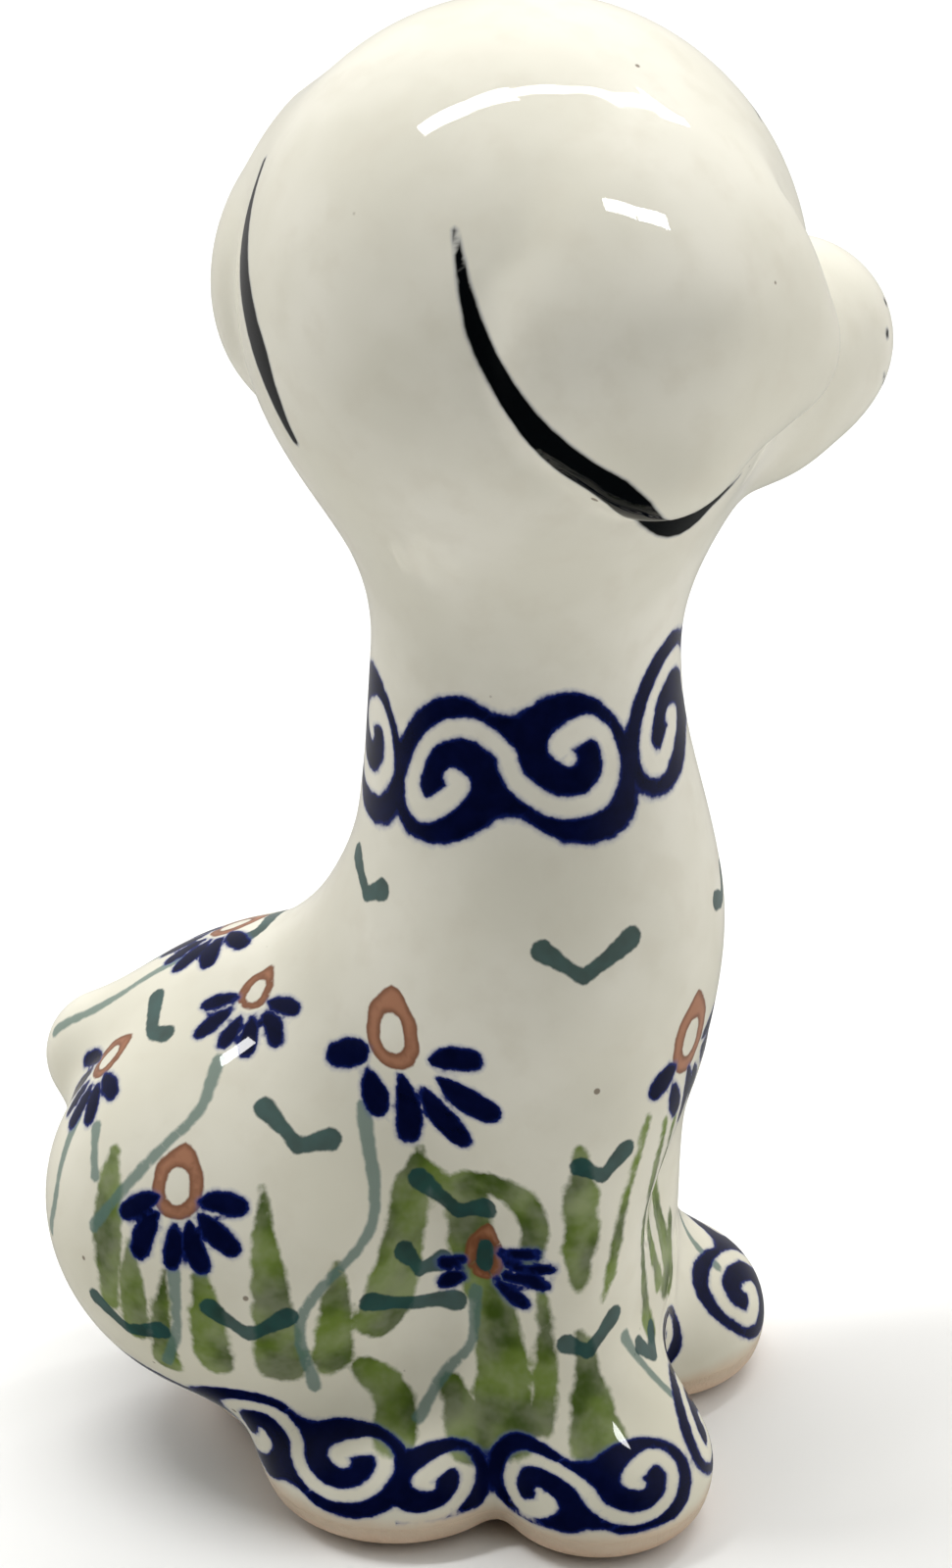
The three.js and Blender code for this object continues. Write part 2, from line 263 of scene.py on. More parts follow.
def cut(verts, tris, labels, f, source, target, snap):
    """Splits the triangles along f = 0 and gives those of source with f < 0 the target label."""
    v = f(verts)
    v[np.abs(v) < snap] = 0
    e = tris[:, [0, 1, 1, 2, 2, 0]].reshape(-1, 3, 2)
    crossed = v[e[..., 0]] * v[e[..., 1]] < 0
    pairs = np.sort(e[crossed], 1)
    unique, where = np.unique(pairs, axis=0, return_inverse=True)
    va, vb = v[unique[:, 0]], v[unique[:, 1]]
    t = (va / (va - vb))[:, None]
    fresh = verts[unique[:, 0]] * (1 - t) + verts[unique[:, 1]] * t
    middle = np.full(crossed.shape, -1)
    middle[crossed] = len(verts) + where.ravel()
    verts, v = np.concatenate([verts, fresh]), np.concatenate([v, np.zeros(len(fresh))])
    hits = crossed.sum(1)
    kept, out, old = tris[hits == 0], [], [labels[hits == 0]]
    for k in range(3):
        i, j = (k + 1) % 3, (k + 2) % 3
        lone = (hits == 2) & crossed[:, k] & crossed[:, j]
        a, b, c = tris[lone, k], tris[lone, i], tris[lone, j]
        ab, ca = middle[lone, k], middle[lone, j]
        out += [np.stack(s, 1) for s in ((a, ab, ca), (ab, b, c), (ab, c, ca))]
        old += [labels[lone]] * 3
        half = (hits == 1) & crossed[:, k]
        a, b, c = tris[half, k], tris[half, i], tris[half, j]
        ab = middle[half, k]
        out += [np.stack(s, 1) for s in ((a, ab, c), (ab, b, c))]
        old += [labels[half]] * 2
    tris, labels = np.concatenate([kept, *out]), np.concatenate(old)
    labels[(labels == source) & (v[tris].sum(1) < 0)] = target
    return verts, tris, labels


# ------------------------------------------------------------------ members

TORSO, SOLE, HEAD, TAIL, EAR_L, EAR_R, FRONT_L, FRONT_R, HIND_L, HIND_R, DROPPED = range(11)
NODES = ["torso_shell", "sole", "head_shell", "tail", "left_ear", "right_ear", "left_front_paw",
         "right_front_paw", "left_hind_paw", "right_hind_paw"]


def ear_seat(side):
    """Below 0 in the ear pad of one side: outside the skull's core and within a little of the ear."""
    def f(p):
        h = to_head(p)
        d = np.maximum(ear(h) - 0.9, -ellipsoid(h, (0, 0, 1), (23.5, 22.6, 23.5)))
        return np.maximum(d, -side * h[..., 1])
    return f


def seat(centre, radii):
    return lambda p: ellipsoid(p, centre, radii)


verts, quads = surface_mesh(skin, np.array([-58.0, -36, -3]), np.array([36.0, 46, 164]), GRID)
verts = settle(verts, skin, 2)
tris = triangles_of(verts, quads)
labels = np.full(len(tris), TORSO)
CUTS = [
    (lambda p: p[..., 2] - SOLE_Z, TORSO, SOLE),
    (lambda p: NECK_Z - p[..., 2], TORSO, HEAD),
    (ear_seat(1), HEAD, EAR_L), (ear_seat(-1), HEAD, EAR_R),
    (seat((-48, 0, 39.5), (9, 8.6, 9.4)), TORSO, TAIL),
    (seat((13, 17.5, 4), (13.5, 12.5, 12.5)), TORSO, FRONT_L),
    (seat((13, -17.5, 4), (13.5, 12.5, 12.5)), TORSO, FRONT_R),
    (seat((-10.5, 21, 4), (15, 11.5, 12)), TORSO, HIND_L),
    (seat((-10.5, -21, 4), (15, 11.5, 12)), TORSO, HIND_R),
]
SNAP = 0.15 * GRID                     # a vertex nearer than this to a seat counts as on it
for divide, source, target in CUTS:
    verts, tris, labels = cut(verts, tris, labels, divide, source, target, SNAP)
# the vent's blind end above the sole belongs to no member
centres = verts[tris].mean(1)
inside_vent = np.hypot(centres[:, 0] - VENT_X, centres[:, 1]) < VENT_RADIUS + 1
labels[inside_vent & (centres[:, 2] > SOLE_Z) & (centres[:, 2] < VENT_DEPTH + 2)] = DROPPED
normals = gradient(skin, verts)
normals /= np.maximum(np.linalg.norm(normals, axis=1, keepdims=True), 1e-9)

# on the crown the glaze lies smoother than the clay under it, so its shading leaves out the finer relief
CROWN_RELIEF = 7.0                     # finest relief shown there, mm
CROWN_START, CROWN_BLEND = 6.0, 8.0    # height in the head's frame where that begins, and its depth
crown = np.clip((to_head(verts)[:, 2] - CROWN_START) / CROWN_BLEND, 0, 1)
high = crown > 0
share = (crown * crown * (3 - 2 * crown))[high, None]
eased = gradient(clay, verts[high], CROWN_RELIEF)
eased = eased / np.linalg.norm(eased, axis=1, keepdims=True) * share + normals[high] * (1 - share)
shading = normals.copy()
shading[high] = eased / np.linalg.norm(eased, axis=1, keepdims=True)


# ------------------------------------------------------------------ brush strokes

rng = np.random.default_rng(7)
COLOURS = ("navy", "terra", "stem", "bird", "green", "black")
paint = {c: np.full(len(verts), FAR_FROM_PAINT) for c in COLOURS}


def smooth(points, per_step=6):
    """A Catmull-Rom curve through rows of numbers."""
    p = np.asarray(points, float)
    if len(p) < 3:
        t = np.linspace(0, 1, per_step)[:, None]
        return p[0] * (1 - t) + p[-1] * t
    q = np.concatenate([[2 * p[0] - p[1]], p, [2 * p[-1] - p[-2]]])
    t = np.linspace(0, 1, per_step, endpoint=False)[:, None]
    rows = []
    for a, b, c, d in zip(q, q[1:], q[2:], q[3:]):
        rows.append(0.5 * (2 * b + (c - a) * t + (2 * a - 5 * b + 4 * c - d) * t ** 2
                           + (3 * b - a - 3 * c + d) * t ** 3))
    return np.concatenate(rows + [p[-1:]])


def along(points, radii, targets, target_normals=None):
    """How deep each target lies inside a stroke of changing half-width; negative outside it.
    With normals, depth is measured along the surface, and what lies over 3 mm off it counts as farther."""
    best = np.full(len(targets), FAR_FROM_PAINT)
    for a, b, ra, rb in zip(points, points[1:], radii, radii[1:]):
        ab = b - a
        t = np.clip((targets - a) @ ab / max(ab @ ab, 1e-9), 0, 1)
        d = targets - (a + t[:, None] * ab)
        far = (d * d).sum(1)
        if target_normals is not None:
            lift = (d * target_normals).sum(1)
            far = far - lift * lift + np.maximum(np.abs(lift) - 3, 0) ** 2 * 9
        best = np.maximum(best, ra + (rb - ra) * t - np.sqrt(np.maximum(far, 0)))
    return best


def stroke(points, widths):
    """A brush stroke on the skin through rows of x, y, z, with widths spread along it.
    Returns the vertices near it and their depth in it."""
    path = settle(smooth(points), clay, 3)
    w = np.interp(np.linspace(0, 1, len(path)), np.linspace(0, 1, len(widths)), widths) / 2
    reach = max(widths) / 2 + 1.5
    near = np.all((verts > path.min(0) - reach) & (verts < path.max(0) + reach), 1)
    near = np.nonzero(near)[0]
    return near, along(path, w, verts[near], normals[near])


def lay(colour, points, widths):
    """Adds a brush stroke to one colour of the painting."""
    near, depth = stroke(points, widths)
    paint[colour][near] = np.maximum(paint[colour][near], depth)


def tangent_frame(at, towards):
    """(point on the skin, right, up) with up leading to another point, seen from outside."""
    at = settle([at])[0]
    n = gradient(clay, at[None])[0]
    n /= np.linalg.norm(n)
    up = np.subtract(towards, at)
    up -= (up @ n) * n
    up /= np.linalg.norm(up)
    return at, np.cross(up, n), up


def on_side(points, side=-1):
    """Points (x, z) of the side elevation, dropped on to the skin from the right (-1) or the left (1)."""
    p = np.array([(x, 45.0 * side, z) for x, z in points])
    for _ in range(60):
        p[:, 1] -= side * np.maximum(clay(p), 0) * 0.9
    return p


def flip(points):
    return [(x, -y, z) for x, y, z in points]


def flower(eye, tip, petals, size=1.0, drop=1.0):
    """A hanging daisy: a terracotta drop with a bare eye over a fan of navy petals.
    Each petal is (x, y) of its inner end, (x, y) of its outer end and its width."""
    at, right, up = tangent_frame(eye, tip)

    def place(x, y):
        return at + (right * x + up * y) * size

    rows, outside = stroke([place(0, -0.6 * drop), place(0, 0.8 * drop), place(0.2, 3.0 * drop),
                            place(0.3, 4.6 * drop)],
                           [6.4 * size * drop, 6.2 * size * drop, 3.4 * size * drop, 0.9])
    holed, hole = stroke([place(0, -0.6), place(0.05, 0.7)], [2.8 * size * drop, 2.5 * size * drop])
    eyed = np.full(len(verts), FAR_FROM_PAINT)
    eyed[holed] = hole
    paint["terra"][rows] = np.maximum(paint["terra"][rows], np.minimum(outside, -eyed[rows]))
    for x0, y0, x1, y1, width in petals:
        bend = 0.08 * rng.uniform(-1, 1)
        middle = place((x0 + x1) / 2 - (y1 - y0) * bend, (y0 + y1) / 2 + (x1 - x0) * bend)
        lay("navy", [place(x0, y0), middle, place(x1, y1)],
            [1.0 * size, width * 0.85 * size, width * size, width * 0.85 * size])


# petals of the large flowers, of the smaller ones, and of the one among the grass
LARGE = [(-3, -2.2, -6.2, -3.6, 3.0), (-3, -4.6, -2, -7.6, 2.8), (0.7, -4.2, 1.2, -10, 2.9),
         (3, -5.2, 6.2, -10.2, 3.2), (4.9, -3.8, 9.7, -6.9, 3.2), (4.2, -1.9, 8.6, -1.2, 2.7)]
SMALL = [(-2.2, -1.5, -5.6, -3.5, 2.6), (-2, -3.2, -4, -7.5, 2.8), (0, -4, -0.2, -8, 2.5),
         (1.6, -3.6, 3.1, -8, 2.8), (2.7, -2.6, 6.2, -5.5, 2.8), (2.7, -1.2, 6.6, -1.2, 2.7)]
SPARSE = [(1.5, 0.6, 5, 1.1, 1.3), (2, -0.4, 6.6, -0.3, 1.3), (2, -1.5, 6, -2, 1.4),
          (1.2, -2.2, 4, -3.8, 1.6), (-2.2, -0.8, -5, -1, 1.6), (-2, -2.2, -4.2, -2.8, 1.8)]
FLOWERS = [
    # eye, a point above it, petals, size of the whole and of the drop
    ((-10, -19, 57), (-10, -18, 62), LARGE, 1.14, 0.96),
    ((-27, -10, 55), (-26, -7, 57), SMALL, 0.85, 0.75),
    ((-43, -12, 46), (-41, -11, 48), SMALL, 0.92, 0.8),
    ((-31, -26, 40), (-31, -25, 43), SMALL, 1.05, 0.9),
    ((-33, 3, 55), (-31, 5, 57), SMALL, 1.0, 0.8),
    ((0, -19, 32), (-0.5, -20, 36), SPARSE, 1.2, 0.6),
    ((19, -7, 54), (19.5, -7, 60), LARGE, 1.0, 1.1),
]
for eye, tip, petals, size, drop in FLOWERS:
    flower(eye, tip, petals, size, drop)
    if abs(eye[1]) > 4:
        flower(*flip([eye, tip]), petals, size, drop)

for side in (-1, 1):
    # the grass flower's dark heart
    lay("bird", [(0, 19 * side, 30.4), (0, 19 * side, 32.8)], [2.0, 2.8])

# stems, in the round
STEMS = [
    [(-13, -19, 48), (-11, -23, 37), (-16, -27, 30), (-18, -27, 25), (-17, -25, 17)],
    [(-29, -17, 50), (-30, -22, 47), (-34, -24, 42), (-38, -25, 37), (-41, -25, 33)],
    [(-42, -20, 42), (-41, -23, 38)],
    [(-45, -17, 41), (-47, -20, 33), (-48, -19, 28)],
    [(-31, -29, 31), (-31, -28, 24), (-33, -26, 18)],
    [(-38, -2, 54), (-45, -3, 48), (-52, -3, 43)],
    [(-1, -20, 28), (-1, -20, 22), (-4, -21, 18), (-6, -24, 14)],
    [(14, -14, 21), (16, -13, 17), (19, -13, 14)],
]
for stem in STEMS:
    for path in (stem, flip(stem)):
        lay("stem", path, [1.8, 1.4, 1.2, 1.4, 1.3, 1.6])

# birds: two short wings meeting low in the middle, as (x, z) on the side elevation
BIRDS = [
    [(6, 69), (10, 66), (14, 69)], [(-16, 72), (-14, 69.5), (-12, 71)],
    [(-23, 47.5), (-19, 44.5), (-16, 45)], [(-7, 40.5), (-3, 36.5), (0, 37.5)],
    [(-8, 33), (-6.5, 30.5), (-4.5, 31)], [(-11, 28), (-7, 26.5), (-3, 26.5)],
    [(-27, 27.5), (-23, 24.5), (-19, 27)], [(-41, 24), (-37, 21.5), (-33, 23)],
    [(10, 44), (12, 42.5), (14, 45)], [(9, 23), (11, 21.5), (13, 24.5)],
]
for bird in BIRDS:
    for side in (-1, 1):
        lift = 0 if side < 0 else rng.uniform(-1, 1)
        left, low, right = on_side([(x, z + lift) for x, z in bird], side)
        lay("bird", [left, low], [2.5, 1.9, 1.5, 1.8])
        lay("bird", [low, right], [1.8, 1.7, 2.1, 2.6])
# and those on the back, the chest and the right front leg, in the round
BIRDS_IN_THE_ROUND = [
    [(-39, -7, 51), (-38, -12, 50), (-36, -13, 50)], [(-31, -2, 57), (-29, 0, 57), (-29, 5, 57)],
    [(19, 4, 68), (20, 2, 66), (20, -1, 67)], [(16, -12, 19), (17, -10, 17), (18, -8, 19)],
]
for bird in BIRDS_IN_THE_ROUND:
    lay("bird", bird, [2.3, 1.6, 2.4])

# grass: blades as (x, z) on the side elevation, with their widths before the brush is pressed
BRUSH_PRESS, FINE_PRESS = 1.3, 1.2
BLADES = [
    ([(-39, 41), (-39, 34), (-39, 25)], [1.2, 3, 3.2, 2]), ([(-32, 31), (-33, 18)], [1, 2.2, 2.8]),
    ([(-28, 31), (-27, 20)], [1.4, 3.4, 3.6]), ([(-22, 41), (-21, 34), (-20, 20)], [0.5, 1.8, 3.4, 4.2]),
    ([(-14, 33), (-15, 21)], [0.8, 3.2, 3.6]), ([(-7, 44), (-8, 36), (-10, 26)], [0.8, 3.4, 4.2, 4.8]),
    ([(-7, 42), (-4.5, 39.5)], [1.6, 2]), ([(-4, 39), (1, 41), (5, 38), (5, 32)], [2.6, 2.6, 2.6, 2.0]),
    ([(-2, 38), (-1, 28)], [3.6, 4, 2]), ([(1, 30), (2, 22), (3, 14)], [3.4, 4, 4.6, 6.2]),
    ([(10, 46), (10, 37), (10, 30)], [0.8, 3.2, 3.0, 1.6]),
    ([(10, 24), (11, 20), (13, 14)], [0.8, 2.4, 4.8]),
    ([(-12, 19), (-9, 16), (-8, 13)], [2.4, 3.4, 3.8]), ([(-3, 17), (0, 12)], [2.4, 4.2]),
    ([(-36, 33), (-36, 22)], [1.0, 3.0, 2.4]),
    ([(6, 31), (7, 22), (7, 15)], [0.8, 1.8, 2.4]),
]
for blade, widths in BLADES:
    for side in (-1, 1):
        lean = 0 if side < 0 else rng.uniform(-1.5, 1.5)
        lay("green", on_side([(x + lean, z) for x, z in blade], side), [BRUSH_PRESS * w for w in widths])
# thin blades down the right front leg, and broader ones on chest and rump
FRONT_BLADES = [
    ([(16, -14, 48), (14, -15, 39), (13, -16, 32), (12, -17, 27)], [0.8, 1.2, 1.2, 0.8]),
    ([(17, -11, 46), (15, -10, 33), (16, -8, 18)], [0.8, 1.4, 1.2, 2.6]),
    ([(18, -9, 47), (16, -7, 35), (15, -4, 22)], [0.8, 1.2, 1.6, 2.0]),
    ([(18, 0, 46), (15, 0, 34), (14, 0, 20)], [0.8, 2.4, 3.6]),
    ([(15, 4, 25), (16, -2, 20)], [1.6, 3.0]),
    ([(-49, 8, 34), (-49, 9, 24)], [0.8, 3.4]), ([(-49, -5, 30), (-48, -6, 20)], [0.8, 3.6]),
    ([(-50, 0, 28), (-48, 1, 16)], [0.8, 4.0]),
]
for blade, widths in FRONT_BLADES:
    lay("green", blade, [FINE_PRESS * w for w in widths])

# ears: a tapering line along the free edge of each, the near one in one stroke and the far one in two
EAR_LINE = [(-1.7, -24.4, 145), (0.8, -27, 137), (4.8, -28.6, 130.4), (9.9, -27, 124),
            (15, -24, 119), (17.4, -12.5, 113), (20.2, -8.8, 114.3), (22.2, -5.7, 116.2)]
FAR_EAR = [(-25, -6, 144), (-25.6, -12, 137), (-22.5, -18, 129), (-18.8, -19.4, 121)]
FAR_EAR_LOW = [from_head(h) for h in ((-15, 24, -10), (-11.4, 25.2, -13.7),
                                      (-0.5, 20.3, -19.2), (8, 18, -19))]
lay("black", EAR_LINE, [0.5, 2.0, 3.2, 4.2, 4.4, 3.4, 1.4, 0.4])
lay("black", FAR_EAR, [1.2, 3.6, 4.0, 1.2])
lay("black", FAR_EAR_LOW, [0.4, 3.6, 3.4, 0.4])

# face, in the head's own frame: the nose and the line below it, then what each side has
lay("black", [from_head(h) for h in ((47.5, -2.2, -8.6), (48.4, 0, -9.4), (47.5, 2.2, -8.6))],
    [5.0, 5.6, 5.0])
lay("black", [from_head(h) for h in ((48.5, 0, -11), (48.0, 0, -16.5))], [1.4, 1.0])
FACE_PAIRS = [
    # corner of the mouth, eye, lid, brow
    ([(48, 0, -16), (46, 3, -18.5), (43, 6.5, -18), (40.5, 8.5, -15.5)], [1.0, 1.2, 1.0, 0.4]),
    ([(25.5, 10.6, 6.6), (26, 10.4, 4.0)], [3.6, 3.8]),
    ([(26, 6.5, 7.5), (25, 10.5, 10.2), (23, 14.5, 7.5)], [0.4, 1.3, 0.5]),
    ([(22, 8.5, 16), (20, 12.5, 17.5), (17.5, 16, 16)], [0.4, 1.5, 0.4]),
    # whisker dots
    ([(43, 7.5, -9.5), (43, 7.5, -9.3)], [1.0, 1.0]),
    ([(41, 8.5, -12), (41, 8.5, -11.8)], [1.0, 1.0]),
    ([(43.5, 7, -13), (43.5, 7, -12.8)], [1.0, 1.0]),
]
for side in (-1, 1):
    for path, widths in FACE_PAIRS:
        lay("black", [from_head((x, y * side, z)) for x, y, z in path], widths)


# ------------------------------------------------------------------ scroll bands

SCROLL_HALF = [(0, 0), (0.75, -1.75), (3.2, -3.75), (5.7, -4.4), (8.75, -3.4), (10.5, -1),
               (11.1, 1.75), (10.2, 4.2), (8.5, 4.9), (6.2, 3.5), (5.2, 2.2), (6.2, 1.2)]
SCROLL_SIZE = 0.92
SCROLL_WIDTHS = [0.95, 0.95, 1.0, 1.0, 0.95, 0.9, 0.9, 1.0, 1.25, 1.25, 1.0, 0.8]


def scroll(x, y):
    """Depth inside the navy of one scroll stamp, whose white path runs through its middle."""
    q = np.stack([x, y], 1)
    path = smooth([(SCROLL_SIZE * u, SCROLL_SIZE * v, w)
                   for (u, v), w in zip(SCROLL_HALF, SCROLL_WIDTHS)], 5)
    white = along(path[:, :2], path[:, 2], q)
    white = np.maximum(white, along(-path[:, :2], path[:, 2], q))

    def oval(at_x, at_y, rx, ry):
        return (np.hypot((x - at_x) / rx, (y - at_y) / ry) - 1) * min(rx, ry)

    field = smin(oval(6.3, 0.3, 6.8, 7.9), oval(-6.3, -0.3, 6.8, 7.9), 2.0)
    field = smin(field, oval(0, 0, 4.0, 5.2), 1.5)
    return np.minimum(-field, -white)


def stamp(near, x, y):
    """Prints one scroll on the vertices near, which lie at x and y from its middle."""
    inside = (np.abs(x) < 15) & (np.abs(y) < 11)
    near = near[inside]
    paint["navy"][near] = np.maximum(paint["navy"][near], scroll(x[inside], y[inside]))


def wrapped(angle):
    """An angle brought to within half a turn of 0."""
    return (angle + math.pi) % (2 * math.pi) - math.pi


NECK_X, NECK_RADIUS = -0.5, 16.6
NECK_BAND = (72, 100)                  # heights between which the neck is stamped
NECK_STAMP_LENGTH = 1.065
NECK_SLOPE, NECK_SAG = 0.03, 0.018     # tilt of each stamp, and how its two ends droop
# stamps round the neck, as bearing in degrees and height
NECK_STAMPS = [(-82.5, 87.3), (8.5, 90.8), (98.5, 88), (188.5, 85.1)]
near = np.nonzero((verts[:, 2] > NECK_BAND[0]) & (verts[:, 2] < NECK_BAND[1]))[0]
bearing = np.arctan2(verts[near, 1], verts[near, 0] - NECK_X)
for centre, height in NECK_STAMPS:
    s = NECK_RADIUS * wrapped(bearing - math.radians(centre))
    middle = height + NECK_SLOPE * s - NECK_SAG * s * s
    stamp(near, s / NECK_STAMP_LENGTH, verts[near, 2] - middle)

FOOT_CENTRE = np.array([-6.0, 0.0])
LEVEL = 8.0                            # height at which the foot's outline is measured
FOOT_BAND_TOP = 26                     # nothing above this is stamped by the foot's scrolls


def foot_outline(steps=720):
    """Bearings about the foot's centre, the outline's radius there and the length run so far.
    The outline is found by shrinking a circle that lies outside the foot."""
    angle = np.linspace(-math.pi, math.pi, steps + 1)
    r = np.full(len(angle), 46.0)
    for _ in range(60):
        p = np.stack([FOOT_CENTRE[0] + r * np.cos(angle), FOOT_CENTRE[1] + r * np.sin(angle),
                      np.full(len(angle), LEVEL)], 1)
        r = r - np.maximum(clay(p), 0) * 0.8
    xy = np.stack([r * np.cos(angle), r * np.sin(angle)], 1)
    run = np.concatenate([[0], np.cumsum(np.linalg.norm(np.diff(xy, axis=0), axis=1))])
    return angle, r, run


angles, radii, run = foot_outline()
near = np.nonzero(verts[:, 2] < FOOT_BAND_TOP)[0]
bearing = np.arctan2(verts[near, 1] - FOOT_CENTRE[1], verts[near, 0] - FOOT_CENTRE[0])
out = np.hypot(verts[near, 1] - FOOT_CENTRE[1], verts[near, 0] - FOOT_CENTRE[0])
s = np.interp(bearing, angles, run)
z = verts[near, 2]
inward = np.minimum(out - np.interp(bearing, angles, radii), 0)
t = np.where(z < LEVEL, z, LEVEL + np.hypot(z - LEVEL, inward))
# stamps as place along the outline, height, length, tallness and where each is lapped by the one before
WHOLE, TALL = -20, 0.68
STAMPS = [(11.5, 9.2, 1.0, TALL, WHOLE), (36.4, 9.6, 1.05, TALL, WHOLE), (46.5, 7.6, 1.0, TALL, 2.2),
          (71.5, 8.9, 0.97, TALL, WHOLE), (98, 10.5, 1.0, TALL, WHOLE), (130, 11.6, 1.0, 0.86, WHOLE),
          (153.5, 9.2, 1.0, TALL, WHOLE), (177, 9.4, 1.0, TALL, WHOLE), (200.5, 9.0, 1.0, TALL, WHOLE)]
STAMP_LIFT = 0.5
for centre, level, length, tall, lapped in STAMPS:
    d = ((s - centre + run[-1] / 2) % run[-1] - run[-1] / 2) / length
    shown = d > lapped
    stamp(near[shown], d[shown], (t[shown] - level - STAMP_LIFT) / tall)
paint["navy"][near] = np.minimum(paint["navy"][near], z - SOLE_Z - BARE_MARGIN)


# ------------------------------------------------------------------ materials

def linear(*rgb):
    """8-bit display colour to a linear RGBA tuple."""
    return tuple((c / 255 / 12.92) if c <= 10 else ((c / 255 + 0.055) / 1.055) ** 2.4 for c in rgb) + (1.0,)


class Nodes:
    """A node tree, with short names for the nodes that it is made of."""

    def __init__(self, tree):
        self.tree = tree

    def node(self, kind, inputs=(), **settings):
        made = self.tree.nodes.new(kind)
        for key, value in settings.items():
            setattr(made, key, value)
        for key, value in dict(inputs).items():
            self.feed(made.inputs[key], value)
        return made

    def feed(self, socket, value):
        if isinstance(value, bpy.types.NodeSocket):
            self.tree.links.new(value, socket)
        else:
            socket.default_value = value

    def math(self, how, *values):
        return self.node("ShaderNodeMath", dict(enumerate(values)), operation=how).outputs[0]

    def ramp(self, value, low, high, out_low=0.0, out_high=1.0):
        """Smooth step of value from low to high."""
        return self.node("ShaderNodeMapRange", {0: value, 1: low, 2: high, 3: out_low, 4: out_high},
                         interpolation_type="SMOOTHSTEP").outputs[0]

    def mix(self, amount, a, b):
        return self.node("ShaderNodeMix", {0: amount, 6: a, 7: b}, data_type="RGBA").outputs[2]


class Finish(Nodes):
    """A material, whose patterns lie in the object's own space."""

    def __init__(self, name):
        self.material = bpy.data.materials.new(name)
        self.material.use_nodes = True
        super().__init__(self.material.node_tree)
        self.shader = self.tree.nodes["Principled BSDF"]
        self.place = self.node("ShaderNodeTexCoord").outputs["Object"]

    def noise(self, size, detail=2.0, rough=0.5):
        """Noise from 0 to 1 whose features are about size millimetres."""
        return self.node("ShaderNodeTexNoise", {"Vector": self.place, "Scale": 1000 / size,
                                                "Detail": detail, "Roughness": rough}).outputs[0]

    def attribute(self, name):
        return self.node("ShaderNodeAttribute", attribute_name=name).outputs["Fac"]

    def depth(self, name, *wobbles):
        """A stroke's depth attribute with its edge disturbed by noises of (size, strength in mm)."""
        value = self.attribute(name)
        for size, strength in wobbles:
            shaken = self.math("MULTIPLY_ADD", self.noise(size), strength, -strength / 2)
            value = self.math("ADD", value, shaken)
        return value


